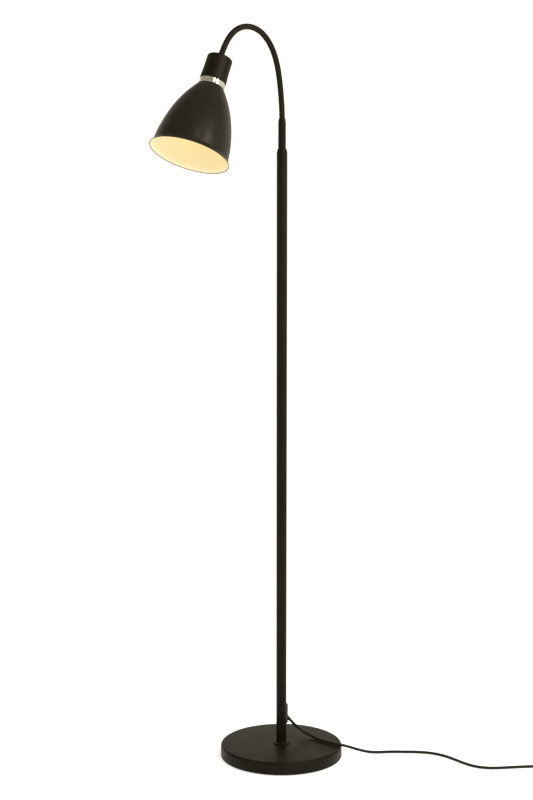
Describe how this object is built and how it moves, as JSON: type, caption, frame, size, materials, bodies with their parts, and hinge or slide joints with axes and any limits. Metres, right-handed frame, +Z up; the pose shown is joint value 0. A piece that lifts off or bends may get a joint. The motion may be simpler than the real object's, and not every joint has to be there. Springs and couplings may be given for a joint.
{
  "type": "adjustable arm floor lamp",
  "caption": "Floor lamp with a weighted round base, a slim pole, a gooseneck arm that bends and holds, and a bell-shaped metal shade on a screw lampholder.",
  "frame": {"origin": "centre of the base's underside, on the floor, on the pole's axis", "axes": "+Z up along the pole; the arm leans towards -Y, which is the lamp's front; +X is to the right seen from the front; the cord leaves the back of the pole, at +Y"},
  "size_m": [0.6944, 0.6045, 1.416],
  "materials": {
    "black_paint": "satin black powder coat with a warm tone",
    "shade_paint": "satin black outside, cream white inside and on the rim's edge",
    "chrome": "polished",
    "zinc_steel": "zinc plated",
    "nickel": "nickel plated",
    "cast_iron": "raw casting",
    "brass": "plain",
    "black_plastic": "moulded, fine grain",
    "tie_strap": "woven strap",
    "cord_sheath": "smooth PVC sheath",
    "felt": "pressed felt",
    "opal_glass": "opal, lit warm white"
  },
  "bodies": {
    "stand": {"base_felt": "felt", "base_cover": "black_paint", "base_weight": "cast_iron", "base_washer": "zinc_steel", "base_bolt": "zinc_steel", "base_collar": "black_paint", "pole_tube": "black_paint", "pole_foot_bush": "zinc_steel", "pole_top_cap": "black_paint", "outlet_plate": "black_plastic", "outlet_screw_lower": "zinc_steel", "outlet_screw_upper": "zinc_steel", "outlet_strain_relief": "black_plastic", "pole_cable": "cord_sheath", "neck_ferrule": "black_paint", "neck_root": "black_paint", "cord_run": "cord_sheath", "cord_lead": "cord_sheath", "cord_tail": "cord_sheath", "switch_base": "black_plastic", "switch_cover": "black_plastic", "cord_coil": "cord_sheath", "coil_tie": "tie_strap", "plug_body": "black_plastic", "plug_pin_left": "nickel", "plug_pin_right": "nickel"},
    "link_01": {"neck_link_01": "black_paint"},
    "link_02": {"neck_link_02": "black_paint"},
    "link_03": {"neck_link_03": "black_paint"},
    "link_04": {"neck_link_04": "black_paint"},
    "link_05": {"neck_link_05": "black_paint"},
    "link_06": {"neck_link_06": "black_paint"},
    "link_07": {"neck_link_07": "black_paint"},
    "link_08": {"neck_link_08": "black_paint"},
    "link_09": {"neck_link_09": "black_paint"},
    "link_10": {"neck_link_10": "black_paint"},
    "head": {"neck_tip": "black_paint", "holder_cup": "black_paint", "chrome_ring": "chrome", "holder_locknut": "zinc_steel", "lampholder_body": "black_plastic", "lampholder_shell": "brass", "lampholder_contact": "brass", "shade": "shade_paint", "shade_ring": "black_plastic", "bulb_cap": "nickel", "bulb_glass": "opal_glass"},
    "rocker": {"switch_rocker": "black_plastic"}
  },
  "joints": [
    {"name": "neck_bend_01", "type": "hinge", "parent": "stand", "child": "link_01", "pos_m": [0, 0, 1.255], "axis": [1, 0, 0], "range_deg": [-16, 5]},
    {"name": "neck_swing_low", "type": "hinge", "parent": "link_01", "child": "link_02", "pos_m": [0, -0.00314, 1.28484], "axis": [0, 0.9914, 0.1305], "range_deg": [-25, 25]},
    {"name": "neck_bend_03", "type": "hinge", "parent": "link_02", "child": "link_03", "pos_m": [0, -0.00783, 1.31447], "axis": [1, 0, 0], "range_deg": [-14, 5]},
    {"name": "neck_bend_04", "type": "hinge", "parent": "link_03", "child": "link_04", "pos_m": [0, -0.01559, 1.34344], "axis": [1, 0, 0], "range_deg": [-14, 4]},
    {"name": "neck_bend_05", "type": "hinge", "parent": "link_04", "child": "link_05", "pos_m": [0, -0.02921, 1.37017], "axis": [1, 0, 0], "range_deg": [-17, 4]},
    {"name": "neck_bend_06", "type": "hinge", "parent": "link_05", "child": "link_06", "pos_m": [0, -0.05005, 1.39175], "axis": [1, 0, 0], "range_deg": [-18, 4]},
    {"name": "neck_bend_07", "type": "hinge", "parent": "link_06", "child": "link_07", "pos_m": [0, -0.07654, 1.40584], "axis": [1, 0, 0], "range_deg": [-19, 4]},
    {"name": "neck_bend_08", "type": "hinge", "parent": "link_07", "child": "link_08", "pos_m": [0, -0.10617, 1.41053], "axis": [1, 0, 0], "range_deg": [-18, 4]},
    {"name": "neck_bend_09", "type": "hinge", "parent": "link_08", "child": "link_09", "pos_m": [0, -0.1358, 1.40584], "axis": [1, 0, 0], "range_deg": [-22, 4]},
    {"name": "neck_bend_10", "type": "hinge", "parent": "link_09", "child": "link_10", "pos_m": [0, -0.16152, 1.39039], "axis": [1, 0, 0], "range_deg": [-21, 4]},
    {"name": "head_swing", "type": "hinge", "parent": "link_10", "child": "head", "pos_m": [0, -0.17999, 1.36675], "axis": [0, -0.8387, 0.5446], "range_deg": [-25, 25]},
    {"name": "switch_rocker_tilt", "type": "hinge", "parent": "stand", "child": "rocker", "pos_m": [0.497, 0.25, 0.0128], "axis": [0, 1, 0], "range_deg": [-14, 0]}
  ]
}
